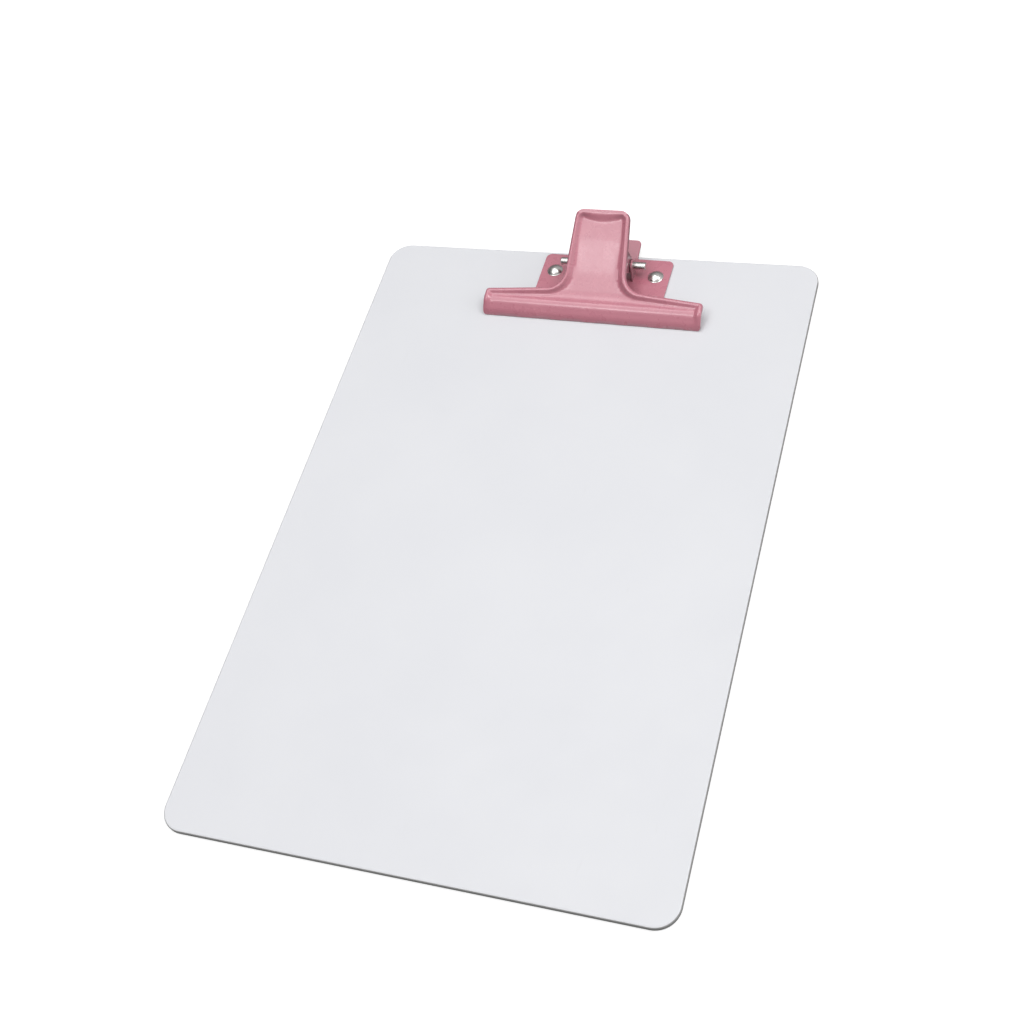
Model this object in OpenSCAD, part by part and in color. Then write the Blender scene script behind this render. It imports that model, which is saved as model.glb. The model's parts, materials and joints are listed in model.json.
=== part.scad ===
// Office clipboard: a flat board with a riveted, sprung lever clip.
// +X is right, +Y points to the clip end and +Z is up.
// The origin is the centre of the board's underside.

/* [Board] */
// Width of the board
board_w = 230; // [210:1:250]
// Length of the board
board_l = 340; // [320:1:360]
// Thickness of the board
board_t = 3; // [2.8:0.1:4]
// Radius of the board's corners
board_corner_r = 11; // [6:1:16]

/* [Clip position] */
// How far the clip stands to the right of the board's centre line
clip_x = 7.1; // [-10:0.1:10]
// How far the whole clip is turned on the board, in degrees
clip_turn = -0.8; // [-2:0.1:2]
// Distance from the board's clip end back to the hinge pin
pin_setback = 12.6; // [12:0.1:16]
// Thickness of the clip's sheet steel
sheet = 1; // [0.8:0.05:1.1]

/* [Base plate] */
// Width of the base plate over its two wings
plate_w = 68.2; // [66:0.2:72]
// How far the plate reaches in front of the pin
plate_front = 23; // [22:0.2:24]
// How far the plate reaches behind the pin
plate_rear = 10.2; // [9.6:0.1:11]
// Radius of the plate's corners
plate_corner_r = 3; // [2:0.5:4]
// Width of the thumb tab where it leaves the plate
tab_w = 29.4; // [26:0.2:31]
// Length of the thumb tab behind the plate
tab_l = 11.7; // [9.5:0.1:14]
// Slope of the thumb tab
tab_slope = 7; // [4:1:10]

/* [Hinge] */
// Diameter of the hinge pin
pin_d = 4; // [3.6:0.1:4.2]
// Length of the hinge pin
pin_l = 45; // [40:1:50]
// Height of the pin's axis above the board
pin_h = 7.2; // [7:0.1:7.6]
// Radial gap between the pin and the lever's lugs
running_gap = 0.05; // [0.03:0.01:0.1]
// Distance from the middle of the clip to the outer face of each lever lug
lug_x = 14.6; // [14:0.1:14.6]
// Sideways gap between each lug and the ear beside it
ear_gap = 0.4; // [0.3:0.1:0.6]

/* [Lever] */
// Width of the jaw bar
bar_w = 114; // [100:1:120]
// Distance from the pin forward to the jaw's lip
jaw_reach = 33.4; // [32:0.1:34]
// Gap between the closed jaw and the board
jaw_gap = 0.3; // [0.25:0.05:0.4]
// Depth of the jaw bar from its lip to its rear edge, at its two ends
bar_depth = 11.7; // [10.9:0.1:12.5]
// How much the bar's rear edge slants back toward the handle, in degrees
bar_slant = 4.8; // [2:0.2:7]
// Slope of the top of the bar
bar_slope = 0.7; // [0:0.1:3]
// Slope of the handle
handle_slope = 30.4; // [29:0.2:32]
// Width of the handle where it leaves the bar
handle_w = 31.7; // [31.1:0.1:32.5]
// Inward lean of each side of the handle
handle_lean = 3.6; // [2:0.2:4]
// Width of the raised rim
rim_w = 2.6; // [2:0.1:3]
// Height of the raised rim above the pressed panel
rim_h = 1.4; // [1:0.1:1.6]

/* [Torsion spring] */
// Diameter of the spring wire
wire_d = 1.4; // [1.2:0.1:1.5]
// Number of turns
turns = 7; // [5:1:9]

/* [Rivets] */
// Distance between the two rivets
rivet_pitch = 53.8; // [52:0.2:56]
// How far the rivets stand in front of the pin
rivet_front = 1.1; // [0:0.1:2]
// Diameter of the domed head
rivet_head_d = 8; // [7.4:0.2:9]
// Height of the domed head
rivet_head_h = 2; // [1.6:0.1:2.4]
// Diameter of the shank
rivet_d = 4; // [3.6:0.1:4.4]

/* [Hidden] */

$fn = 64;
arc_steps = 8;
eps = 0.01;

paint = [0.82, 0.52, 0.58];
nickel = [0.78, 0.77, 0.75];
spring_steel = [0.42, 0.38, 0.38];
board_white = [0.93, 0.93, 0.94];

// The hinge axis in the side view (Y, Z)
eye = [board_l / 2 - pin_setback, board_t + pin_h];
plate_top = board_t + sheet;
plate_rear_y = eye[0] + plate_rear;
tab_start = [plate_rear_y, plate_top];
tab_end = tab_start + tab_l * [cos(tab_slope), sin(tab_slope)];
tab_corners = [tab_start - [2, 0], tab_start, tab_end];
tab_bends = [0, 6, 0];
tab_corner_r = 2.5;
tab_narrowing = 0.3;
pin_bevel = 0.4;

ear_x = lug_x + ear_gap;
ear_r = pin_d / 2 + 1.4;
ear_foot = 5.5;
lug_r = pin_d / 2 + 1.7;
lug_front = 13;
lug_rear = 26;

// Corners of the lever's top surface in the side view, from the lip to the handle's end
bar_run = 5.2;
handle_run = 38.2;
lip = [eye[0] - jaw_reach, board_t + jaw_gap];
brow = lip + [1.1, 2.3];
crown = brow + [4.5, 4.3];
knee = crown + bar_run * [1, tan(bar_slope)];
handle_end = knee + handle_run * [1, tan(handle_slope)];
lever_corners = [lip - sheet * unit(brow - lip), brow, crown, knee, handle_end];
lever_bends = [0, 9, 3.5, 12, 0];

bar_rear_y = lip[0] + bar_depth;
bar_corner_r = 2;
neck_r = 9;
neck_y = bar_rear_y + 11.3;
handle_corner_r = 4.5;
above_all = 60;

washer_d = 9;
washer_t = 0.8;
washer_gap = 0.15;
tail_d = 6;
tail_t = 0.5;
back_recess = 0.1;

coil_r = pin_d / 2 + 0.5 + wire_d / 2;
coil_half = turns * (wire_d + 0.15) / 2;
wire_sides = 8;
steps_per_turn = 16;
lower_leg_tip = [eye[0] + 9, plate_top + wire_d / 2 + 0.1];
upper_leg_tip = on_handle(30, sheet + wire_d / 2 + 0.1);

// Unit vector to the left of a heading
function left(h) = [cos(h + 90), sin(h + 90)];

// Heading from one point to the next
function heading(a, b) = atan2(b[1] - a[1], b[0] - a[0]);

function unit(v) = v / norm(v);

function reversed(list) = [for (i = [len(list) - 1:-1:0]) list[i]];

// Points of an arc from angle a to angle b
function arc(c, r, a, b) =
    [for (i = [0:arc_steps]) let (t = a + (b - a) * i / arc_steps) c + r * [cos(t), sin(t)]];

// Where a line from p touches a circle; side is 1 or -1
function touch(p, c, r, side) =
    let (v = c - p, far = norm(v), h = atan2(v[1], v[0]) + side * asin(r / far))
    p + sqrt(far * far - r * r) * [cos(h), sin(h)];

// The bend of radius r at corner p, which turns by t from heading h, moved d to the left
function bend(p, h, t, r, d) =
    let (s = sign(t), c = p + s * r / cos(t / 2) * left(h + t / 2))
    [for (i = [0:arc_steps]) c + (d - s * r) * left(h + t * i / arc_steps)];

// A line through the corners, bent at each inner one and moved d to the left
function bent_line(corners, bends, d) =
    let (last = len(corners) - 1)
    [
        corners[0] + d * left(heading(corners[0], corners[1])),
        for (i = [1:last - 1])
            let (h = heading(corners[i - 1], corners[i]), t = heading(corners[i], corners[i + 1]) - h)
            each bend(corners[i], h, t, bends[i], d),
        corners[last] + d * left(heading(corners[last - 1], corners[last]))
    ];

// A point below the handle's top surface, at a distance along it from the knee
function on_handle(along, depth) =
    knee + along * [cos(handle_slope), sin(handle_slope)] - depth * left(handle_slope);

// Puts a shape drawn in the side view across the clip, from x0 to x1
module across(x0, x1) {
    translate([x0, 0, 0])
        rotate([90, 0, 90])
            linear_extrude(x1 - x0)
                children();
}

// Moves a shape drawn about the middle of the board to the clip, which turns about the pin
module on_clip() {
    translate([clip_x, eye[0], 0])
        rotate(clip_turn)
            translate([0, -eye[0], 0])
                children();
}

module at_rivet(side) {
    on_clip()
        translate([side * rivet_pitch / 2, eye[0] - rivet_front, 0])
            children();
}

module mirrored_pair() {
    children();
    mirror([1, 0, 0])
        children();
}

module rounded_rectangle(w, l, r) {
    square([w - 2 * r, l], center = true);
    square([w, l - 2 * r], center = true);
    for (x = [-1, 1], y = [-1, 1])
        translate([x * (w / 2 - r), y * (l / 2 - r)])
            circle(r);
}

// A plate that stands on edge: it narrows from two points to a round eye about the pin
module eye_plate(front, rear, outer_r, hole_r, side) {
    difference() {
        union() {
            translate(eye)
                circle(outer_r);
            polygon([front, touch(front, eye, outer_r, side), eye, touch(rear, eye, outer_r, -side), rear]);
        }
        translate(eye)
            circle(hole_r);
    }
}

// Board: each rivet has a hole, with a recess for its washer in the underside
module board() {
    recess = back_recess + tail_t + washer_t;
    color(board_white)
        difference() {
            linear_extrude(board_t)
                rounded_rectangle(board_w, board_l, board_corner_r);
            for (side = [-1, 1])
                at_rivet(side)
                    translate([0, 0, -eps]) {
                        cylinder(d = rivet_d, h = board_t + 2 * eps);
                        cylinder(d = washer_d + 2 * washer_gap, h = recess + eps);
                    }
        }
}

// Thumb tab: a tongue with round corners, which bends up behind the plate
module thumb_tab() {
    root = tab_w / 2;
    corner_x = root - tab_narrowing - tab_corner_r;
    corner_y = tab_end[0] - tab_corner_r;
    intersection() {
        bent_sheet(tab_corners, tab_bends, sheet, 0);
        linear_extrude(above_all)
            polygon(concat(
                [[-root, plate_rear_y - 2], [root, plate_rear_y - 2]],
                arc([corner_x, corner_y], tab_corner_r, 0, 90),
                arc([-corner_x, corner_y], tab_corner_r, 90, 180)
            ));
    }
}

// Base plate: two wings under the rivets, two ears for the pin, and the thumb tab
module base_plate() {
    foot_z = board_t + sheet / 2;
    color(paint)
        difference() {
            on_clip() {
                translate([0, eye[0] + (plate_rear - plate_front) / 2, board_t])
                    linear_extrude(sheet)
                        rounded_rectangle(plate_w, plate_front + plate_rear, plate_corner_r);
                thumb_tab();
                mirrored_pair()
                    across(ear_x, ear_x + sheet)
                        eye_plate([eye[0] - ear_foot, foot_z], [eye[0] + ear_foot, foot_z],
                            ear_r, pin_d / 2, 1);
            }
            for (side = [-1, 1])
                at_rivet(side)
                    translate([0, 0, board_t - eps])
                        cylinder(d = rivet_d, h = sheet + 2 * eps);
        }
}

// Plan of the lever, set in from its sides and its rear. Each side of the handle leans in;
// a fillet joins it to the bar's rear edge, which slants the other way.
module lever_plan(inset) {
    lean = handle_lean;
    slant = bar_slant;
    half_bar = bar_w / 2 - inset;
    bar_r = max(bar_corner_r - inset, 0.4);
    bar_corner = [half_bar - bar_r, bar_rear_y - inset - bar_r];
    half_handle = handle_w / 2 - inset / cos(lean);
    neck = neck_r + inset;
    slant_y = bar_corner[1] + (bar_r + neck) / cos(slant) + bar_corner[0] * tan(slant);
    neck_x = (half_handle + neck / cos(lean) - (slant_y - neck_y) * tan(lean)) / (1 - tan(slant) * tan(lean));
    tip_r = max(handle_corner_r - inset, 1.5);
    tip_y = handle_end[0] - inset - tip_r;
    tip_x = half_handle - (tip_y - neck_y) * tan(lean) - tip_r / cos(lean);
    right = concat(
        [[half_bar, lip[0] - sheet]],
        arc(bar_corner, bar_r, 0, 90 - slant),
        arc([neck_x, slant_y - neck_x * tan(slant)], neck, 270 - slant, 180 + lean),
        arc([tip_x, tip_y], tip_r, lean, 90)
    );
    polygon(concat(right, reversed([for (p = right) [-p[0], p[1]]])));
}

// A sheet bent along a line, as a solid from a depth below the line to a height above it
module bent_sheet(corners, bends, below, above) {
    across(-bar_w, bar_w)
        polygon(concat(
            bent_line(corners, bends, above),
            reversed(bent_line(corners, bends, -below))
        ));
}

// What is cut away to round one lower corner of the jaw
module jaw_corner_cut() {
    r = bar_corner_r;
    translate([bar_w / 2 - r, lip[0] + 4 * sheet, lip[1] + r])
        rotate([90, 0, 0])
            linear_extrude(6 * sheet)
                difference() {
                    translate([0, -r - eps])
                        square(r + eps);
                    circle(r);
                }
}

// The raised rim follows the sides and the rear of the lever, but not its front face
module lever_rim() {
    difference() {
        intersection() {
            bent_sheet(lever_corners, lever_bends, sheet / 2, rim_h);
            linear_extrude(above_all)
                lever_plan(0);
            translate([-bar_w, crown[0] + 1, 0])
                cube([2 * bar_w, board_l, above_all]);
        }
        linear_extrude(above_all)
            lever_plan(rim_w);
    }
}

// Lever: jaw bar and handle in one pressed sheet, with a lug down each side of the handle.
// The jaw's lip is cut flat, parallel to the board.
module lever() {
    color(paint)
        on_clip() {
            difference() {
                intersection() {
                    bent_sheet(lever_corners, lever_bends, sheet, 0);
                    translate([0, 0, lip[1]])
                        linear_extrude(above_all)
                            lever_plan(0);
                }
                mirrored_pair()
                    jaw_corner_cut();
            }
            lever_rim();
            mirrored_pair()
                across(lug_x - sheet, lug_x)
                    eye_plate(on_handle(lug_front, sheet / 2), on_handle(lug_rear, sheet / 2),
                        lug_r, pin_d / 2 + running_gap, -1);
        }
}

// Hinge pin: a plain rod with a small bevel at each end
module hinge_pin() {
    r = pin_d / 2;
    half = pin_l / 2;
    color(nickel)
        on_clip()
            translate([0, eye[0], eye[1]])
                rotate([0, 90, 0])
                    rotate_extrude()
                        polygon([[0, -half], [r - pin_bevel, -half], [r, pin_bevel - half],
                            [r, half - pin_bevel], [r - pin_bevel, half], [0, half]]);
}

// Side angle at which a leg leaves the coil
function leave_angle(tip, side) = heading(eye, touch(tip, eye, coil_r, side));

// The wire's centre line: lower leg, coil about the pin, upper leg
function spring_line() =
    let (
        start = leave_angle(lower_leg_tip, 1),
        sweep = leave_angle(upper_leg_tip, -1) - start - 360 * turns,
        count = ceil(-sweep / 360 * steps_per_turn)
    )
    [
        [-coil_half, lower_leg_tip[0], lower_leg_tip[1]],
        for (i = [0:count])
            let (a = start + sweep * i / count)
            [coil_half * (2 * i / count - 1), eye[0] + coil_r * cos(a), eye[1] + coil_r * sin(a)],
        [coil_half, upper_leg_tip[0], upper_leg_tip[1]]
    ];

// A round wire along a line; its rings face along the line
module wire(line, r) {
    last = len(line) - 1;
    n = wire_sides;
    rings = [
        for (i = [0:last])
            let (
                t = unit(line[min(i + 1, last)] - line[max(i - 1, 0)]),
                u = unit(cross(t, [1, 0, 0])),
                v = cross(t, u)
            )
            for (k = [0:n - 1])
                line[i] + r * (u * cos(360 * k / n) + v * sin(360 * k / n))
    ];
    polyhedron(rings, concat(
        [reversed([for (k = [0:n - 1]) k])],
        [for (i = [0:last - 1], k = [0:n - 1])
            [i * n + k, i * n + (k + 1) % n, (i + 1) * n + (k + 1) % n, (i + 1) * n + k]],
        [[for (k = [0:n - 1]) last * n + k]]
    ));
}

// Torsion spring: coiled about the pin, it pushes the handle up from the plate
module torsion_spring() {
    color(spring_steel)
        on_clip()
            wire(spring_line(), wire_d / 2);
}

// Rivet: domed head on the plate, shank through the board, spread tail under the washer
module rivet(side) {
    head_r = rivet_head_d / 2;
    ball_r = (head_r * head_r + rivet_head_h * rivet_head_h) / (2 * rivet_head_h);
    color(nickel)
        at_rivet(side) {
            intersection() {
                translate([0, 0, plate_top + rivet_head_h - ball_r])
                    sphere(ball_r);
                translate([0, 0, plate_top])
                    cylinder(r = head_r, h = rivet_head_h);
            }
            translate([0, 0, back_recess])
                cylinder(d = rivet_d, h = plate_top - back_recess + eps);
            translate([0, 0, back_recess])
                cylinder(d = tail_d, h = tail_t);
        }
}

module rivet_left() {
    rivet(-1);
}

module rivet_right() {
    rivet(1);
}

// Washer: a flat ring in the board's recess, under the rivet's spread tail
module washer(side) {
    color(nickel)
        at_rivet(side)
            translate([0, 0, back_recess + tail_t])
                linear_extrude(washer_t)
                    difference() {
                        circle(d = washer_d);
                        circle(d = rivet_d);
                    }
}

module washer_left() {
    washer(-1);
}

module washer_right() {
    washer(1);
}

board();
base_plate();
lever();
hinge_pin();
torsion_spring();
rivet_left();
rivet_right();
washer_left();
washer_right();
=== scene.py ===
"""Looks for the clipboard: studio, camera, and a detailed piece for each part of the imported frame.

Shapes are drawn in millimetres and turned into metres as each piece is made. The board is drawn
about its own centre. The clip is drawn in its own frame: x across it, y back from the hinge pin
and z up from the board's underside.
"""
import bpy
import json
import math
from mathutils import Matrix, Vector
from mathutils.geometry import delaunay_2d_cdt


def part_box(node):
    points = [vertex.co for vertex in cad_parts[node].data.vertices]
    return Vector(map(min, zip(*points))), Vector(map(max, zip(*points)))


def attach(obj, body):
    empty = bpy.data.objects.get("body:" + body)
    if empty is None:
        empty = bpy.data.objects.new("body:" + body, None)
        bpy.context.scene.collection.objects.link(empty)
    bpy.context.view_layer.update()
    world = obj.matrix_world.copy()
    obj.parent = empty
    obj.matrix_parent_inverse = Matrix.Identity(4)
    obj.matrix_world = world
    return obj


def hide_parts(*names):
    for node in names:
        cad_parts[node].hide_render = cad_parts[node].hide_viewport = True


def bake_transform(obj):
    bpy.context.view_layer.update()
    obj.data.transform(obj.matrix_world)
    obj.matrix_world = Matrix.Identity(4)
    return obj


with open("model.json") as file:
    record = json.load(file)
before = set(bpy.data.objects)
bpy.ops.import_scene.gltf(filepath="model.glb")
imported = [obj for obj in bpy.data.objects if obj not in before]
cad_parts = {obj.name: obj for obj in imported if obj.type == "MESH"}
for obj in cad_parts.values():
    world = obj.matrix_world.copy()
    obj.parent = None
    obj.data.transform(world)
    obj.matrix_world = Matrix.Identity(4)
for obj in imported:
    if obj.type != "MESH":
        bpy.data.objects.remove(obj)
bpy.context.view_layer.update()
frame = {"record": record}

MM = 0.001
hinge = frame["record"]["behaviour"]["joints"][0]
PIN = Vector(hinge["pos_m"]) / MM
CLIP_TURN = math.atan2(-hinge["axis"][1], -hinge["axis"][0])
ON_CLIP = Matrix.Translation((PIN.x * MM, PIN.y * MM, 0)) @ Matrix.Rotation(CLIP_TURN, 4, "Z")
ON_BOARD = Matrix.Identity(4)

# Camera: where it looks, from which side, and how it is rolled
AIM = Vector((-3.2, 10.4, 0)) * MM
CAMERA_DISTANCE = 694.6 * MM
AZIMUTH = math.radians(33.42)
ELEVATION = math.radians(53.80)
ROLL = math.radians(-21.52)
LENS = 52.2

# Floor and lights, in metres
FLOOR_HALF = 6
FLOOR_DROP = 0.0002
LIGHT_DISTANCE = 1.5

# Board
board_low, board_high = (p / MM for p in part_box("board"))
BOARD_W = board_high.x - board_low.x
BOARD_L = board_high.y - board_low.y
BOARD_T = board_high.z
BOARD_CORNER_R = 11
BOARD_EDGE_R = 0.9
HOLE_BEVEL = 0.1

# Base plate
SHEET = 1.0
PLATE_W = 68.2
PLATE_FRONT = -23.0
PLATE_REAR = 10.2
PLATE_CORNER_R = 3.0
PLATE_TOP = BOARD_T + SHEET
TAB_W = 29.4
TAB_END_W = 28.8
TAB_L = 11.7
TAB_SLOPE = math.radians(7)
TAB_BEND_R = 6.0
TAB_CORNER_R = 2.5
TAB_ROOT_R = 1.2
EDGE_R = 0.28

# Hinge
PIN_D = 4.0
PIN_L = 45.0
PIN_END_R = 0.5
LUG_CLEARANCE = 0.05
EYE_BEVEL = 0.15
LUG_X = 14.6
EAR_X = 15.0
EAR_R = 3.4
EAR_FOOT = 5.5
LUG_R = 3.7
LUG_FRONT = 13.0
LUG_REAR = 26.0

# Lever, as a sheet bent along a line in the side view (y, z)
JAW_REACH = 33.4
JAW_GAP = 0.3
LIP = Vector((-JAW_REACH, BOARD_T + JAW_GAP))
BROW = LIP + Vector((1.1, 2.3))
CROWN = BROW + Vector((4.5, 4.3))
BAR_RUN = 5.2
BAR_SLOPE = math.radians(0.7)
KNEE = CROWN + BAR_RUN * Vector((1, math.tan(BAR_SLOPE)))
HANDLE_RUN = 38.2
HANDLE_SLOPE = math.radians(30.4)
HANDLE_END = KNEE + HANDLE_RUN * Vector((1, math.tan(HANDLE_SLOPE)))
BROW_R = 9.0
CROWN_R = 4.8
KNEE_R = 12.0
BAR_W = 114.0
BAR_DEPTH = 11.7
BAR_SLANT = math.radians(4.8)
BAR_CORNER_R = 2.0
HANDLE_W = 31.7
HANDLE_W_AT = 11.3
HANDLE_LEAN = math.radians(3.3)
NECK_R = 9.5
HANDLE_CORNER_R = 4.8

# Raised rim round the lever
RIM_H = 1.4
RIM_ROLL = 1.45
RIM_WALL = 2.7
RIM_SKIRT = 0.95
RIM_TURN = 0.3
CREASE_Y = -11.4
CREASE_DEPTH = 0.6
CREASE_REACH = 14
CREASE_ROUND = 2
CREASE_FADE = 5
END_BOW = 2.4
END_BOW_MARGIN = 6
END_ZONE = 9
LIP_ROUND = 0.3

# Grid of points that fills the lever's panel
GRID_STEP = 1.5
GRID_HALF = 38
GRID_MARGIN = 0.11
GRID_CLEAR = 0.45
ROW_STEP = 1.1
BEND_ROW_STEP = 0.45
FIRST_ROWS = [0.12, 0.3]

# Rivets and washers
RIVET_X = 26.9
RIVET_Y = -1.1
RIVET_HEAD_D = 8.0
RIVET_HEAD_H = 2.0
RIVET_D = 4.0
TAIL_D = 6.0
TAIL_LOW = 0.1
TAIL_HIGH = 0.6
TAIL_DIMPLE = ((0, 0.35), (0.7, 0.3), (1.4, 0.08), (1.9, 0))
RIVET_EDGE_R = 0.2
WASHER_D = 9.0
WASHER_HIGH = 1.4
WASHER_EDGE_R = 0.15
RECESS_R = 4.65
RECESS_BEVEL = 0.12

# Torsion spring
WIRE_D = 1.4
SPRING_TURNS = 7
COIL_GAP = 0.5
TURN_GAP = 0.15
COIL_R = PIN_D / 2 + COIL_GAP + WIRE_D / 2
COIL_HALF = SPRING_TURNS * (WIRE_D + TURN_GAP) / 2
LEG_GAP = 0.1
LOW_LEG_Y = 9
HIGH_LEG_ALONG = 30


# ---- Curves in the plane -------------------------------------------------------------------

def arc(centre, radius, start, end, steps):
    """Points on an arc, angles in degrees."""
    angles = [math.radians(start + (end - start) * i / steps) for i in range(steps + 1)]
    return [Vector((centre[0] + radius * math.cos(a), centre[1] + radius * math.sin(a))) for a in angles]


def between(a, b, steps):
    """Points from a to b, without either end."""
    return [Vector(a).lerp(Vector(b), i / steps) for i in range(1, steps)]


def smooth(low, high, value):
    """0 below low, 1 above high, and an S-curve between."""
    t = min(1.0, max(0.0, (value - low) / (high - low)))
    return t * t * (3 - 2 * t)


class BentLine:
    """A line in the side view, bent to an arc at each inner corner.

    Each of its parts is (start, heading, curvature, length).
    """

    def __init__(self, corners, radii):
        self.parts = []
        start = corners[0]
        for i, radius in enumerate(radii, 1):
            into = (corners[i] - corners[i - 1]).normalized()
            out = (corners[i + 1] - corners[i]).normalized()
            heading = math.atan2(into.y, into.x)
            turn = math.atan2(into.x * out.y - into.y * out.x, into.dot(out))
            reach = radius * math.tan(abs(turn) / 2)
            bend = corners[i] - into * reach
            self.parts.append((start, heading, 0, (bend - start).length))
            self.parts.append((bend, heading, math.copysign(1 / radius, turn), radius * abs(turn)))
            start = corners[i] + out * reach
        last = corners[-1] - start
        self.parts.append((start, math.atan2(last.y, last.x), 0, last.length))
        self.length = sum(part[3] for part in self.parts)

    def at(self, s):
        """(point, heading) at a distance along the line; it runs straight on past both ends."""
        for start, heading, curve, length in self.parts:
            if s <= length or start is self.parts[-1][0]:
                break
            s -= length
        if not curve:
            return start + s * Vector((math.cos(heading), math.sin(heading))), heading
        end = heading + curve * s
        step = Vector((math.sin(end) - math.sin(heading), math.cos(heading) - math.cos(end)))
        return start + step / curve, end

    def offset(self, s, d):
        """The point at a distance along the line, moved d to its upper side."""
        point, heading = self.at(s)
        return point + d * Vector((-math.sin(heading), math.cos(heading)))

    def along(self, y):
        """How far along the line a given y is, found by halving."""
        low, high = 0, self.length
        for _ in range(40):
            middle = (low + high) / 2
            low, high = (middle, high) if self.at(middle)[0].x < y else (low, middle)
        return low

    def bends(self):
        """Where each arc starts and ends along the line."""
        out, start = [], 0
        for _, _, curve, length in self.parts:
            if curve:
                out.append((start, start + length))
            start += length
        return out


def rounded_rectangle(width, length, r, steps):
    """A closed loop about the origin, anticlockwise."""
    loop = []
    for x, y, start in ((1, 1, 0), (-1, 1, 90), (-1, -1, 180), (1, -1, 270)):
        loop += arc((x * (width / 2 - r), y * (length / 2 - r)), r, start, start + 90, steps)
    return loop


def inset_loop(loop, d):
    """A closed loop, anticlockwise, with each point moved in by d."""
    out = []
    for i, p in enumerate(loop):
        into = (p - loop[i - 1]).normalized()
        away = (loop[(i + 1) % len(loop)] - p).normalized()
        normal = Vector((-into.y - away.y, into.x + away.x)).normalized()
        out.append(p + normal * (d / max(0.5, normal.dot(Vector((-into.y, into.x))))))
    return out


def signed_gap(p, loop):
    """Distance from p to a closed loop, negative outside it."""
    best, inside = 1e9, False
    for i, a in enumerate(loop):
        b = loop[i - 1]
        edge = b - a
        t = min(1.0, max(0.0, (p - a).dot(edge) / edge.length_squared))
        best = min(best, (p - a - t * edge).length_squared)
        if (a.y > p.y) != (b.y > p.y) and p.x < a.x + (p.y - a.y) * edge.x / edge.y:
            inside = not inside
    return math.sqrt(best) if inside else -math.sqrt(best)


# ---- Meshes --------------------------------------------------------------------------------

EDGE_STEPS = 5
FACE_BANDS = 3
CAP_MARGIN = 0.4


def strip(a, b, closed=True):
    """Quads between two rings of vertex numbers."""
    last = len(a) if closed else len(a) - 1
    return [(a[i], a[(i + 1) % len(a)], b[(i + 1) % len(a)], b[i]) for i in range(last)]


def fill(points, loops):
    """Triangles over the area inside the first loop of point numbers and outside the others."""
    edges = [(loop[i - 1], loop[i]) for loop in loops for i in range(len(loop))]
    made = delaunay_2d_cdt(points, edges, [], 2, 1e-6)
    source = [origin[0] for origin in made[3]]
    faces = [tuple(source[i] for i in face) for face in made[2]]
    holes = [[points[i] for i in loop] for loop in loops[1:]]
    centres = [sum((points[i] for i in face), Vector((0, 0))) / len(face) for face in faces]
    return [face for face, c in zip(faces, centres) if all(signed_gap(c, hole) < 0 for hole in holes)]


def slab_profile(thickness, edge_r):
    """[(inset, height)] up the side of a plate with round edges, from one flat face to the other.

    The first and last FACE_BANDS of its bands count as part of the faces.
    """
    turns = [math.pi / 2 * i / EDGE_STEPS for i in range(EDGE_STEPS + 1)]
    low = [(edge_r + 0.3, 0)]
    low += [(edge_r * (1 - math.sin(t)), edge_r * (1 - math.cos(t))) for t in turns]
    return low + [(d, thickness - w) for d, w in reversed(low)]


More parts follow.
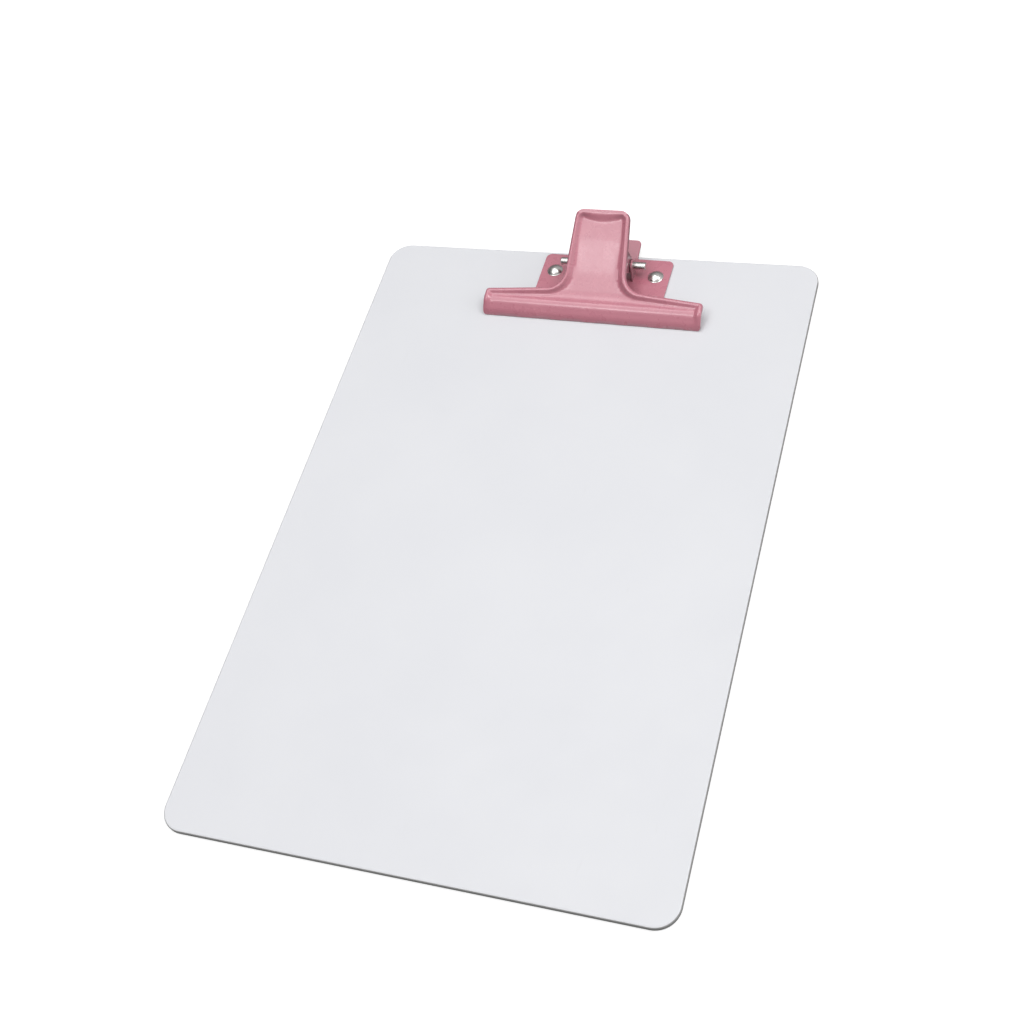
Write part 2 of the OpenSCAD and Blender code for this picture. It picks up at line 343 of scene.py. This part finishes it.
class Solid:
    """A mesh in the making."""

    def __init__(self):
        self.points = []
        self.faces = []
        self.edge_faces = set()

    def add(self, points):
        """Adds points and returns their numbers."""
        self.points += [Vector(p) for p in points]
        return list(range(len(self.points) - len(points), len(self.points)))

    def slab(self, loop, thickness, edge_r, holes=(), place=lambda u, v, w: (u, v, w), inner=()):
        """A plate with round edges. loop and inner points are in its plane; a hole is a centre
        and its profile [(radius, height)] from the low face to the high one."""
        profile = slab_profile(thickness, edge_r)
        loops = [inset_loop(loop, d) for d, _ in profile]
        rings = [self.add([place(p.x, p.y, w) for p in ring]) for ring, (_, w) in zip(loops, profile)]
        for i, (low, high) in enumerate(zip(rings, rings[1:])):
            band = strip(low, high)
            if FACE_BANDS <= i < len(rings) - 1 - FACE_BANDS:
                self.edge_faces |= set(range(len(self.faces), len(self.faces) + len(band)))
            self.faces += band
        bores = [self.bore(centre, bore, place) for centre, bore in holes]
        self.cap(0, 0, (loops[0], rings[0]), bores, place, inner)
        self.cap(-1, thickness, (loops[-1], rings[-1]), bores, place, inner)
        return self

    def bore(self, centre, profile, place, steps=48):
        """The wall of a round hole: its circles in the plane and their point numbers."""
        circles = [arc(centre, r, 0, 360 - 360 / steps, steps - 1) for r, _ in profile]
        rings = [self.add([place(p.x, p.y, w) for p in circle]) for circle, (_, w) in zip(circles, profile)]
        for low, high in zip(rings, rings[1:]):
            self.faces += strip(high, low)
        return circles, rings

    def cap(self, end, height, rim, bores, place, inner):
        """A slab's low face, if end is 0, or its high one, if end is -1."""
        outline, ring = rim
        points, numbers = list(outline), list(ring)
        loops = [list(range(len(ring)))]
        for circles, rings in bores:
            loops.append(list(range(len(points), len(points) + len(rings[end]))))
            points += circles[end]
            numbers += rings[end]
        kept = [p for p in inner if signed_gap(p, outline) > CAP_MARGIN]
        points += kept
        numbers += self.add([place(p.x, p.y, height) for p in kept])
        for face in fill(points, loops):
            turned = face if end else face[::-1]
            self.faces.append(tuple(numbers[i] for i in turned))

    def lathe(self, profile, place, steps=64):
        """A round solid from a profile [(radius, height)]. Radius 0 closes an end, and a ring's
        profile ends where it starts."""
        rings = []
        for r, w in profile:
            if rings and (r, w) == profile[0]:
                rings.append(rings[0])
                break
            count = 1 if r == 0 else steps
            turn = [2 * math.pi * i / steps for i in range(count)]
            rings.append(self.add([place(r * math.cos(t), r * math.sin(t), w) for t in turn]))
        for low, high in zip(rings, rings[1:]):
            if len(low) == 1:
                self.faces += [(low[0], high[(i + 1) % steps], high[i]) for i in range(steps)]
            elif len(high) == 1:
                self.faces += [(low[i], low[(i + 1) % steps], high[0]) for i in range(steps)]
            else:
                self.faces += strip(low, high)
        return self

    def piece(self, name, material, where, body, nodes, slot, edge=None):
        """The finished object, in place of its CAD nodes. Edge faces may have their own material."""
        mesh = bpy.data.meshes.new(name)
        mesh.from_pydata([where @ (p * MM) for p in self.points], [], self.faces)
        mesh.update()
        mesh.shade_smooth()
        mesh.set_sharp_from_angle(angle=math.radians(38))
        mesh.materials.append(material)
        if edge:
            mesh.materials.append(edge)
            for i in self.edge_faces:
                mesh.polygons[i].material_index = 1
        made = bpy.data.objects.new(name, mesh)
        bpy.context.scene.collection.objects.link(made)
        if body:
            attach(made, body)
        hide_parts(*nodes)
        return made


# ---- Materials -----------------------------------------------------------------------------

class Material:
    """A node material with one Principled surface. Patterns are in object space, in millimetres."""

    def __init__(self, name, **values):
        self.data = bpy.data.materials.new(name)
        self.data.use_nodes = True
        self.tree = self.data.node_tree
        self.surface = self.tree.nodes["Principled BSDF"]
        for socket, value in values.items():
            self.surface.inputs[socket.replace("_", " ")].default_value = value
        coords = self.node("ShaderNodeTexCoord").outputs
        self.place, self.normal = coords["Object"], coords["Normal"]

    def node(self, kind, inputs=(), **settings):
        made = self.tree.nodes.new(kind)
        for key, value in settings.items():
            setattr(made, key, value)
        for key, value in dict(inputs).items():
            if isinstance(value, bpy.types.NodeSocket):
                self.tree.links.new(value, made.inputs[key])
            else:
                made.inputs[key].default_value = value
        return made

    def noise(self, size, detail=3.0, stretch=(1, 1, 1), roughness=0.5):
        """Noise with lumps of about a size, drawn out along an axis by its stretch."""
        scale = tuple(1 / (size * MM * k) for k in stretch)
        moved = self.node("ShaderNodeMapping", {"Vector": self.place, "Scale": scale}).outputs["Vector"]
        inputs = {"Vector": moved, "Scale": 1.0, "Detail": detail, "Roughness": roughness}
        return self.node("ShaderNodeTexNoise", inputs).outputs["Fac"]

    def spread(self, value, low, high, start=0.3, end=0.7):
        """Turns a pattern's start to end into low to high."""
        inputs = {"Value": value, "From Min": start, "From Max": end, "To Min": low, "To Max": high}
        return self.node("ShaderNodeMapRange", inputs).outputs["Result"]

    def blend(self, share, a, b):
        inputs = {0: share, 6: a, 7: b}
        return self.node("ShaderNodeMix", inputs, data_type="RGBA").outputs[2]

    def relief(self, height, depth, normal=None):
        """A bump of a depth in millimetres, on top of another."""
        inputs = {"Height": height, "Distance": depth * MM, "Strength": 1.0}
        if normal:
            inputs["Normal"] = normal
        return self.node("ShaderNodeBump", inputs).outputs["Normal"]

    def connect(self, **sockets):
        for socket, value in sockets.items():
            self.tree.links.new(value, self.surface.inputs[socket.replace("_", " ")])
        return self.data


def enamel():
    """Dusty pink enamel on pressed steel: orange peel and a cloudy tone, with painted shade that darkens
    its steep and downward faces.
    """
    m = Material("clip_enamel", Coat_Weight=1.0, Coat_Roughness=0.2, Coat_IOR=1.5, IOR=1.6)
    cloudy = m.spread(m.noise(9, 4), 0, 1)
    tone = m.blend(cloudy, (0.59, 0.196, 0.262, 1), (0.63, 0.22, 0.284, 1))
    # Painted shade: the further a face tilts from level, the more its pink is blended towards a dark pink.
    up = m.node("ShaderNodeSeparateXYZ", {0: m.normal}).outputs["Z"]
    tone = m.blend(m.spread(up, 0.7, 0, 0.1, 0.8), tone, (0.27, 0.135, 0.155, 1))
    return m.connect(Base_Color=tone, Roughness=m.spread(m.noise(4, 2), 0.24, 0.34),
                     Normal=m.relief(m.noise(2.5, 0), 0.008))


def nickel():
    """Bright nickel plating: hairline scratches and dull patches."""
    m = Material("nickel_plate", Metallic=1.0)
    dull = m.spread(m.noise(2.5, 2), 0, 1, 0.4, 0.7)
    tone = m.blend(dull, (0.78, 0.76, 0.74, 1), (0.68, 0.66, 0.64, 1))
    scratches = m.noise(0.3, 1, stretch=(1, 12, 1))
    return m.connect(Base_Color=tone, Roughness=m.spread(m.noise(2, 2), 0.24, 0.34),
                     Normal=m.relief(scratches, 0.0006))


def spring_wire():
    """Dark drawn steel wire: oily patches and fine draw lines."""
    m = Material("spring_wire", Metallic=1.0)
    tone = m.blend(m.spread(m.noise(1.2, 5), 0, 1), (0.20, 0.185, 0.18, 1), (0.38, 0.36, 0.35, 1))
    return m.connect(Base_Color=tone, Roughness=m.spread(m.noise(0.6, 4), 0.22, 0.45),
                     Normal=m.relief(m.noise(0.1, 3, stretch=(1, 6, 6)), 0.004))


def board_face():
    """White moulded sheet: fine grain, faint clouds and a few scuffs."""
    m = Material("board_face", IOR=1.45)
    cloudy = m.spread(m.noise(60, 4), 0, 1)
    tone = m.blend(cloudy, (0.80, 0.808, 0.842, 1), (0.825, 0.832, 0.862, 1))
    scuffs = m.spread(m.noise(2.5, 6, stretch=(1, 7, 1), roughness=0.65), 0, 0.25, 0.66, 0.78)
    tone = m.blend(scuffs, tone, (0.72, 0.72, 0.73, 1))
    grain = m.relief(m.noise(0.5, 3), 0.012)
    return m.connect(Base_Color=tone, Roughness=m.spread(m.noise(14, 5), 0.38, 0.52),
                     Normal=m.relief(m.noise(6, 2), 0.02, grain))


def board_edge():
    """The sheet's trimmed edge: grey, partly its own colour and partly painted shade, with fine cutter
    marks across it.
    """
    m = Material("board_edge", IOR=1.45)
    marks = m.noise(0.3, 4, stretch=(1, 1, 20))
    # Partly painted shade: both greys sit well below the face's white, to darken the edge as if it were in
    # shade.
    tone = m.blend(m.spread(marks, 0, 1), (0.36, 0.36, 0.355, 1), (0.46, 0.46, 0.455, 1))
    return m.connect(Base_Color=tone, Roughness=m.spread(m.noise(2, 4), 0.4, 0.6),
                     Normal=m.relief(marks, 0.01))


# ---- Pieces --------------------------------------------------------------------------------

def build_board(material, edge):
    """The sheet, with a stepped hole for each rivet: wide in the back for its washer and tail."""
    bore_r = RIVET_D / 2
    bore = [(RECESS_R + RECESS_BEVEL, 0), (RECESS_R, RECESS_BEVEL), (RECESS_R, WASHER_HIGH),
            (bore_r, WASHER_HIGH), (bore_r, BOARD_T - HOLE_BEVEL), (bore_r + HOLE_BEVEL, BOARD_T)]
    holes = []
    for x in (-RIVET_X, RIVET_X):
        spot = ON_CLIP @ (Vector((x, RIVET_Y, 0)) * MM) / MM
        holes.append(((spot.x, spot.y), bore))
    outline = rounded_rectangle(BOARD_W, BOARD_L, BOARD_CORNER_R, 24)
    solid = Solid().slab(outline, BOARD_T, BOARD_EDGE_R, holes)
    return solid.piece("board_sheet", material, ON_BOARD, "base", ["board"], "board", edge)


def mirrored(half):
    """A path from the right to the middle, carried on to the left."""
    return half + [Vector((-p.x, p.y)) for p in reversed(half)]


def plate_outline():
    """The base plate and its tab, anticlockwise from the front right corner."""
    w, r = PLATE_W / 2, PLATE_CORNER_R
    root, end = TAB_W / 2, TAB_END_W / 2
    tab_y = PLATE_REAR + TAB_L
    half = arc((w - r, PLATE_FRONT + r), r, -90, 0, 10)
    half += between((w, PLATE_FRONT + r), (w, PLATE_REAR - r), 10)
    half += arc((w - r, PLATE_REAR - r), r, 0, 90, 10)
    half += arc((root + TAB_ROOT_R, PLATE_REAR + TAB_ROOT_R), TAB_ROOT_R, 270, 180, 6)
    half += between((root, PLATE_REAR + TAB_ROOT_R), (end, tab_y - TAB_CORNER_R), 6)
    half += arc((end - TAB_CORNER_R, tab_y - TAB_CORNER_R), TAB_CORNER_R, 0, 90, 10)
    return mirrored(half)


def eye_outline(front, rear, centre, radius, above):
    """A plate that narrows from two points to a round eye, which is above or below them."""
    def touch(p, side):
        """Where a line from p touches the eye's round edge."""
        v = centre - p
        h = math.atan2(v.y, v.x) + side * math.asin(radius / v.length)
        return p + math.sqrt(v.length_squared - radius * radius) * Vector((math.cos(h), math.sin(h)))
    side = 1 if above else -1
    to_first, to_last = touch(rear, -side) - centre, touch(front, side) - centre
    first, last = (math.degrees(math.atan2(v.y, v.x)) for v in (to_first, to_last))
    sweep = (last - first) % 360 if above else -((first - last) % 360)
    loop = [front, rear] + arc(centre, radius, first, first + sweep, 28)
    return loop if above else loop[::-1]


def add_eye_plates(solid, outline, low_xs, bore_r):
    """Upright plates of sheet with a round hole at the pin, each from its low x."""
    profile = [(bore_r + EYE_BEVEL, 0), (bore_r, EYE_BEVEL)]
    profile += [(r, SHEET - w) for r, w in reversed(profile)]
    for x in low_xs:
        hole = (Vector((0, PIN.z)), profile)
        solid.slab(outline, SHEET, EDGE_R, [hole], lambda u, v, w, x=x: (x + w, u, v))


def build_base_plate(material):
    """The flat plate with its sloping tab, and two ears for the pin."""
    front, rear = Vector((PLATE_FRONT, BOARD_T)), Vector((PLATE_REAR, BOARD_T))
    tab_end = rear + TAB_L * Vector((math.cos(TAB_SLOPE), math.sin(TAB_SLOPE)))
    sheet_line = BentLine([front, rear, tab_end], [TAB_BEND_R])

    def bent(x, y, w):
        spot = sheet_line.offset(y - PLATE_FRONT, w)
        return x, spot.x, spot.y

    # Rows of inner points, close together at the tab's bend, let the flat faces follow it
    rows = [PLATE_REAR - 0.6 + 0.3 * i for i in range(5)] + [PLATE_REAR + 2 * i for i in range(1, 6)]
    inner = [Vector((x, y)) for y in rows for x in range(-33, 34, 3)]
    bore = [(RIVET_D / 2, 0), (RIVET_D / 2, SHEET)]
    holes = [((x, RIVET_Y), bore) for x in (-RIVET_X, RIVET_X)]
    solid = Solid().slab(plate_outline(), SHEET, EDGE_R, holes, bent, inner)
    foot_z = BOARD_T + SHEET / 2
    feet = Vector((-EAR_FOOT, foot_z)), Vector((EAR_FOOT, foot_z))
    outline = eye_outline(*feet, Vector((0, PIN.z)), EAR_R, True)
    add_eye_plates(solid, outline, (EAR_X, -EAR_X - SHEET), PIN_D / 2)
    return solid.piece("base_plate_pressing", material, ON_CLIP, "base", ["base_plate"], "clip_paint")


LEVER_LINE = BentLine([LIP, BROW, CROWN, KNEE, HANDLE_END], [BROW_R, CROWN_R, KNEE_R])
BAR_REAR_S = LEVER_LINE.along(LIP.x + BAR_DEPTH)
NECK_S = LEVER_LINE.along(LIP.x + BAR_DEPTH + HANDLE_W_AT)


def lever_edge(inset):
    """The lever's right-hand edge, unrolled flat, from the lip to the middle of the handle's end."""
    lean, slant = HANDLE_LEAN, BAR_SLANT
    half_bar = BAR_W / 2 - inset
    corner = max(BAR_CORNER_R - inset, 0.4)
    rear = Vector((half_bar - corner, BAR_REAR_S - inset - corner))
    half_handle = HANDLE_W / 2 - inset / math.cos(lean)
    neck = NECK_R + inset
    # The neck's centre is where the bar's rear edge and the handle's side cross, both moved out by neck
    slant_s = rear.y + (corner + neck) / math.cos(slant) + rear.x * math.tan(slant)
    neck_x = half_handle + neck / math.cos(lean) - (slant_s - NECK_S) * math.tan(lean)
    neck_x /= 1 - math.tan(slant) * math.tan(lean)
    tip = max(HANDLE_CORNER_R - inset, 1.5)
    tip_s = LEVER_LINE.length - inset - tip
    tip_x = half_handle - (tip_s - NECK_S) * math.tan(lean) - tip / math.cos(lean)
    slant_deg, lean_deg = math.degrees(slant), math.degrees(lean)
    bar_end = arc((half_bar - corner, corner), corner, -90, 0, 6)
    bar_corner = arc(rear, corner, 0, 90 - slant_deg, 8)
    fillet = arc((neck_x, slant_s - neck_x * math.tan(slant)), neck, 270 - slant_deg, 180 + lean_deg, 20)
    handle_corner = arc((tip_x, tip_s), tip, lean_deg, 90, 12)
    path = bar_end + between(bar_end[-1], bar_corner[0], 12) + bar_corner
    path += between(bar_corner[-1], fillet[0], 24) + fillet + between(fillet[-1], handle_corner[0], 28)
    return path + handle_corner + between(handle_corner[-1], (0, handle_corner[-1].y), 8)


def rim_profile():
    """[(inset, height of the upper face, inset, height of the lower face)] from the edge inward."""
    rows = [(0, -RIM_SKIRT, SHEET, -RIM_SKIRT)]
    roll_steps, wall_steps = 8, 9
    for i in range(roll_steps + 1):
        turn = math.pi / 2 * i / roll_steps
        out, up = 1 - math.cos(turn), math.sin(turn)
        upper = RIM_ROLL * out, -RIM_TURN + (RIM_H + RIM_TURN) * up
        lower = SHEET + (RIM_ROLL - SHEET) * out, -RIM_TURN + (RIM_H + RIM_TURN - SHEET) * up
        rows.append(upper + lower)
    for i in range(1, wall_steps + 1):
        inset = RIM_ROLL + RIM_WALL * i / wall_steps
        height = RIM_H * (0.5 + 0.5 * math.cos(math.pi * i / wall_steps))
        rows.append((inset, height, inset, height - SHEET))
    return rows


def pressing(x, s, depth):
    """How far the panel is pressed up by a bowed end wall, and down by a faint crease."""
    from_end = LEVER_LINE.length - s
    bow = END_BOW * max(0.0, 1 - (x / (HANDLE_W / 2 - END_BOW_MARGIN)) ** 2)
    wall_low = RIM_ROLL + RIM_WALL + bow
    wall = RIM_H * (1 - smooth(RIM_ROLL, wall_low, from_end)) if from_end < END_ZONE else 0
    away = math.hypot(LEVER_LINE.at(s)[0].x - CREASE_Y, CREASE_ROUND)
    fade = smooth(RIM_ROLL, RIM_ROLL + CREASE_FADE, depth)
    return wall, -CREASE_DEPTH * max(0.0, 1 - away / CREASE_REACH) * fade


def lever_point(x, s, d, low):
    """Where a point of the unrolled lever is, moved d off the bent line. The lower face starts
    further on, so that the lip is cut level."""
    if low:
        s += SHEET / math.tan(LEVER_LINE.at(0)[1]) * max(0.0, 1 - s / 3)
    spot = LEVER_LINE.offset(s, d)
    return x, spot.x, spot.y


def lever_rows():
    """Where the rows of inner points lie along the lever: close together where it bends."""
    rows, s = list(FIRST_ROWS), FIRST_ROWS[-1]
    while s < LEVER_LINE.length - 1:
        bent = any(a - 0.5 < s < b + 0.5 for a, b in LEVER_LINE.bends())
        s += BEND_ROW_STEP if bent or LEVER_LINE.length - s < END_ZONE else ROW_STEP
        rows.append(s)
    return rows


def build_lever(material):
    """The pressed sheet: rings follow its edge through the rim, and rows fill the panel inside."""
    solid = Solid()
    plan, upper, lower = [], [], []
    outer = mirrored(lever_edge(0))

    def add(x, s, high, low_x, low_s, low):
        """A point in the upper face and one in the lower, at their places and heights."""
        rise = smooth(1, BAR_REAR_S - 0.5, s)
        depth = signed_gap(Vector((x, s)), outer) if high == 0 else 0
        wall, crease = pressing(x, s, depth)
        top = max(high, wall) if high >= 0 else high
        if high > 0 or wall > 0:
            top *= rise
        top += crease - LIP_ROUND * max(0.0, 1 - s / LIP_ROUND) ** 2
        under = -SHEET + (max(low, wall - SHEET) + SHEET) * rise + crease
        upper.append(lever_point(x, s, top, False))
        lower.append(lever_point(low_x, low_s, under, True))

    rings = []
    for inset, high, low_inset, low in rim_profile():
        path, low_path = mirrored(lever_edge(inset)), mirrored(lever_edge(low_inset))
        rings.append(list(range(len(plan), len(plan) + len(path))))
        plan += path
        for p, q in zip(path, low_path):
            add(p.x, p.y, high, q.x, q.y, low)
    inner_path = [plan[i] for i in rings[-1]]
    span = inner_path[0].x
    lip_steps = 2 * GRID_HALF
    lip_row = [Vector((-span + 2 * span * i / lip_steps, 0)) for i in range(1, lip_steps)]
    lip_numbers = list(range(len(plan), len(plan) + len(lip_row)))
    boundary = inner_path + lip_row
    columns = range(-GRID_HALF, GRID_HALF + 1)
    grid = [Vector((x * GRID_STEP, s)) for s in lever_rows() for x in columns]
    grid = [p for p in grid if signed_gap(p, boundary) > GRID_MARGIN]
    grid = [p for p in grid if min((p - q).length for q in inner_path) > GRID_CLEAR]
    for p in lip_row + grid:
        plan.append(p)
        add(p.x, p.y, 0, p.x, p.y, -SHEET)
    top, under = solid.add(upper), solid.add(lower)
    faces = fill(plan, [rings[-1] + lip_numbers])
    for a, b in zip(rings, rings[1:]):
        faces += strip(a, b, closed=False)
    solid.faces += [tuple(top[i] for i in face) for face in faces]
    solid.faces += [tuple(under[i] for i in reversed(face)) for face in faces]
    lip_right, lip_left = [ring[0] for ring in rings], [ring[-1] for ring in rings]
    border = rings[0] + lip_left[1:] + lip_numbers + lip_right[:0:-1]
    solid.faces += strip([under[i] for i in border], [top[i] for i in border])
    add_lugs(solid)
    return solid.piece("lever_pressing", material, ON_CLIP, "lever", ["lever"], "clip_paint")


def on_handle(along, depth):
    """A point below the handle, at a distance along it from the knee, in the side view."""
    heading = Vector((math.cos(HANDLE_SLOPE), math.sin(HANDLE_SLOPE)))
    return KNEE + along * heading + depth * Vector((heading.y, -heading.x))


def add_lugs(solid):
    """Two plates that hang from the handle and turn on the pin, just inside the ears."""
    roots = on_handle(LUG_FRONT, SHEET / 2), on_handle(LUG_REAR, SHEET / 2)
    outline = eye_outline(*roots, Vector((0, PIN.z)), LUG_R, False)
    add_eye_plates(solid, outline, (LUG_X - SHEET, -LUG_X), PIN_D / 2 + LUG_CLEARANCE)


def quarter(centre, r, start, end, steps=6):
    """An arc of a lathe's profile, as (radius, height)."""
    return [(p.x, p.y) for p in arc(centre, r, start, end, steps)]


def build_pin(material):
    """A plain rod with rounded ends."""
    r, half = PIN_D / 2 - PIN_END_R, PIN_L / 2 - PIN_END_R
    profile = [(0, -PIN_L / 2)] + quarter((r, -half), PIN_END_R, -90, 0)
    profile += quarter((r, half), PIN_END_R, 0, 90) + [(0, PIN_L / 2)]
    solid = Solid().lathe(profile, lambda u, v, w: (w, u, PIN.z + v), 48)
    return solid.piece("hinge_pin_rod", material, ON_CLIP, "base", ["hinge_pin"], "nickel")


def side_name(side):
    """side is -1 for the left and 1 for the right."""
    return "left" if side < 0 else "right"


def build_rivet(side, material):
    """Domed head, shank, and a tail spread by a punch, which leaves a dimple."""
    head_r, tail_r, shank_r = RIVET_HEAD_D / 2, TAIL_D / 2, RIVET_D / 2
    ball_r = (head_r ** 2 + RIVET_HEAD_H ** 2) / (2 * RIVET_HEAD_H)
    limit = math.degrees(math.acos((head_r - 0.15) / ball_r))
    edge_r = RIVET_EDGE_R
    profile = [(r, TAIL_LOW + up) for r, up in TAIL_DIMPLE]
    profile += quarter((tail_r - edge_r, TAIL_LOW + edge_r), edge_r, -90, 0)
    profile += [(tail_r - 0.05, TAIL_HIGH), (shank_r, TAIL_HIGH), (shank_r, PLATE_TOP)]
    profile += [(head_r - edge_r, PLATE_TOP)]
    profile += quarter((head_r - edge_r, PLATE_TOP + edge_r), edge_r, -90, 0, 4)
    profile += quarter((0, PLATE_TOP + RIVET_HEAD_H - ball_r), ball_r, limit + 2, 89, 18)
    profile += [(0, PLATE_TOP + RIVET_HEAD_H)]
    name = side_name(side)
    solid = Solid().lathe(profile, lambda u, v, w: (side * RIVET_X + u, RIVET_Y + v, w))
    return solid.piece(f"rivet_{name}_dome", material, ON_CLIP, "base", [f"rivet_{name}"], "nickel")


def build_washer(side, material):
    """A flat ring between the rivet's tail and the bottom of its recess."""
    inner, outer, r = RIVET_D / 2, WASHER_D / 2, WASHER_EDGE_R
    low, high = TAIL_HIGH, WASHER_HIGH
    profile = [(inner, low), (outer - r, low)] + quarter((outer - r, low + r), r, -90, 0, 4)
    profile += quarter((outer - r, high - r), r, 0, 90, 4) + [(inner, high), (inner, low)]
    name = side_name(side)
    solid = Solid().lathe(profile, lambda u, v, w: (side * RIVET_X + u, RIVET_Y + v, w))
    return solid.piece(f"washer_{name}_ring", material, ON_CLIP, "base", [f"washer_{name}"], "nickel")


def spring_line():
    """The wire's centre line: lower leg, coil about the pin, upper leg."""
    eye = Vector((0, PIN.z))
    low_tip = Vector((LOW_LEG_Y, PLATE_TOP + WIRE_D / 2 + LEG_GAP))
    high_tip = on_handle(HIGH_LEG_ALONG, SHEET + WIRE_D / 2 + LEG_GAP)

    def leave(tip, side):
        """The angle about the pin at which a straight leg from its tip meets the coil."""
        v = eye - tip
        h = math.atan2(v.y, v.x) + side * math.asin(COIL_R / v.length)
        spot = tip + math.sqrt(v.length_squared - COIL_R ** 2) * Vector((math.cos(h), math.sin(h)))
        return math.atan2(spot.y - eye.y, spot.x - eye.x)

    start = leave(low_tip, 1)
    sweep = leave(high_tip, -1) - start - 2 * math.pi * SPRING_TURNS
    count = 32 * SPRING_TURNS
    coil = []
    for i in range(count + 1):
        a = start + sweep * i / count
        x = COIL_HALF * (2 * i / count - 1)
        coil.append(Vector((x, COIL_R * math.cos(a), eye.y + COIL_R * math.sin(a))))
    low, high = Vector((-COIL_HALF, *low_tip)), Vector((COIL_HALF, *high_tip))
    low_leg = [low.lerp(coil[0], i / 8) for i in range(8)]
    high_leg = [coil[-1].lerp(high, i / 8) for i in range(1, 9)]
    return low_leg + coil + high_leg


def build_spring(material):
    """One round wire along the centre line, leg to coil to leg, baked in place and attached to no body."""
    line, r, sides = spring_line(), WIRE_D / 2, 16
    solid, rings = Solid(), []
    for i, p in enumerate(line):
        along = (line[min(i + 1, len(line) - 1)] - line[max(i - 1, 0)]).normalized()
        u = along.cross(Vector((1, 0, 0))).normalized()
        v = along.cross(u)
        turn = [2 * math.pi * k / sides for k in range(sides)]
        round_end = 0.75 if i in (0, len(line) - 1) else 1
        rings.append(solid.add([p + round_end * r * (u * math.cos(t) + v * math.sin(t)) for t in turn]))
    for a, b in zip(rings, rings[1:]):
        solid.faces += strip(a, b)
    solid.faces += [tuple(reversed(rings[0])), tuple(rings[-1])]
    made = solid.piece("spring_coil", material, ON_CLIP, None, ["torsion_spring"], "spring_steel")
    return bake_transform(made)


# ---- Studio --------------------------------------------------------------------------------

def add_camera():
    """It looks at AIM from the front right and above."""
    turn = (Matrix.Rotation(AZIMUTH, 4, "Z") @ Matrix.Rotation(math.pi / 2 - ELEVATION, 4, "X")
            @ Matrix.Rotation(ROLL, 4, "Z"))
    data = bpy.data.cameras.new("camera")
    data.lens = LENS
    data.sensor_width = 36
    data.clip_start = 0.01
    camera = bpy.data.objects.new("camera", data)
    bpy.context.scene.collection.objects.link(camera)
    camera.matrix_world = Matrix.Translation(AIM) @ turn @ Matrix.Translation((0, 0, CAMERA_DISTANCE))
    bpy.context.scene.camera = camera


def softbox(name, direction, size, radiance):
    """A square light that faces the board from a direction."""
    data = bpy.data.lights.new(name, "AREA")
    data.shape, data.size = "SQUARE", size
    data.energy = radiance * math.pi * size * size
    light = bpy.data.objects.new(name, data)
    bpy.context.scene.collection.objects.link(light)
    away = Vector(direction).normalized()
    facing = away.to_track_quat("Z", "Y").to_matrix().to_4x4()
    light.matrix_world = Matrix.Translation(away * LIGHT_DISTANCE) @ facing


def add_world():
    """Pale studio walls: brightest above and to the right, and dark to the left and below."""
    world = bpy.data.worlds.new("studio")
    bpy.context.scene.world = world
    world.use_nodes = True
    nodes, links = world.node_tree.nodes, world.node_tree.links
    place, along, ramp = (nodes.new(f"ShaderNode{kind}") for kind in ("TexCoord", "VectorMath", "ValToRGB"))
    along.operation = "DOT_PRODUCT"
    along.inputs[1].default_value = (0.5, 0.05, 0.86)
    scale = nodes.new("ShaderNodeMapRange")
    scale.inputs["From Min"].default_value = -1
    links.new(place.outputs["Generated"], along.inputs[0])
    links.new(along.outputs["Value"], scale.inputs["Value"])
    links.new(scale.outputs["Result"], ramp.inputs["Fac"])
    links.new(ramp.outputs["Color"], nodes["Background"].inputs["Color"])
    shades = ((0.0, 0.1), (0.5, 0.14), (0.75, 0.42), (1.0, 0.6))
    while len(ramp.color_ramp.elements) < len(shades):
        ramp.color_ramp.elements.new(0.5)
    for element, (at, shade) in zip(ramp.color_ramp.elements, shades):
        element.position, element.color = at, (shade, shade, shade, 1)


def add_floor():
    """A pale floor that glows a little, so that only a faint contact shadow shows."""
    m = Material("floor_paper", Roughness=0.9, Emission_Strength=0.62)
    m.surface.inputs["Emission Color"].default_value = (1, 1, 1, 1)
    tone = m.blend(m.spread(m.noise(300, 2), 0, 1), (0.66, 0.66, 0.66, 1), (0.68, 0.68, 0.68, 1))
    m.connect(Base_Color=tone)
    mesh = bpy.data.meshes.new("floor")
    corners = [(x * FLOOR_HALF, y * FLOOR_HALF, 0) for x, y in ((-1, -1), (1, -1), (1, 1), (-1, 1))]
    mesh.from_pydata(corners, [], [(0, 1, 2, 3)])
    mesh.materials.append(m.data)
    floor = bpy.data.objects.new("floor", mesh)
    bpy.context.scene.collection.objects.link(floor)
    floor.location.z = -FLOOR_DROP
    floor.visible_diffuse = False
    floor.visible_glossy = False


def add_studio():
    bpy.context.scene.view_settings.view_transform = "Standard"
    add_camera()
    add_world()
    add_floor()
    softbox("top_box", (-0.2, 0.05, 1), 1.35, 1.22)
    softbox("front_box", (-0.28, -0.38, 0.87), 0.42, 3.9)
    softbox("back_box", (-0.24, 0.42, 0.9), 0.45, 1.4)
    softbox("key_box", (0.5, 0.12, 0.86), 0.6, 4)
    softbox("right_box", (0.95, 0, 0.3), 0.8, 1.2)


add_studio()
paint, plating = enamel(), nickel()
build_board(board_face(), board_edge())
build_base_plate(paint)
build_lever(paint)
build_pin(plating)
build_spring(spring_wire())
for side in (-1, 1):
    build_rivet(side, plating)
    build_washer(side, plating)
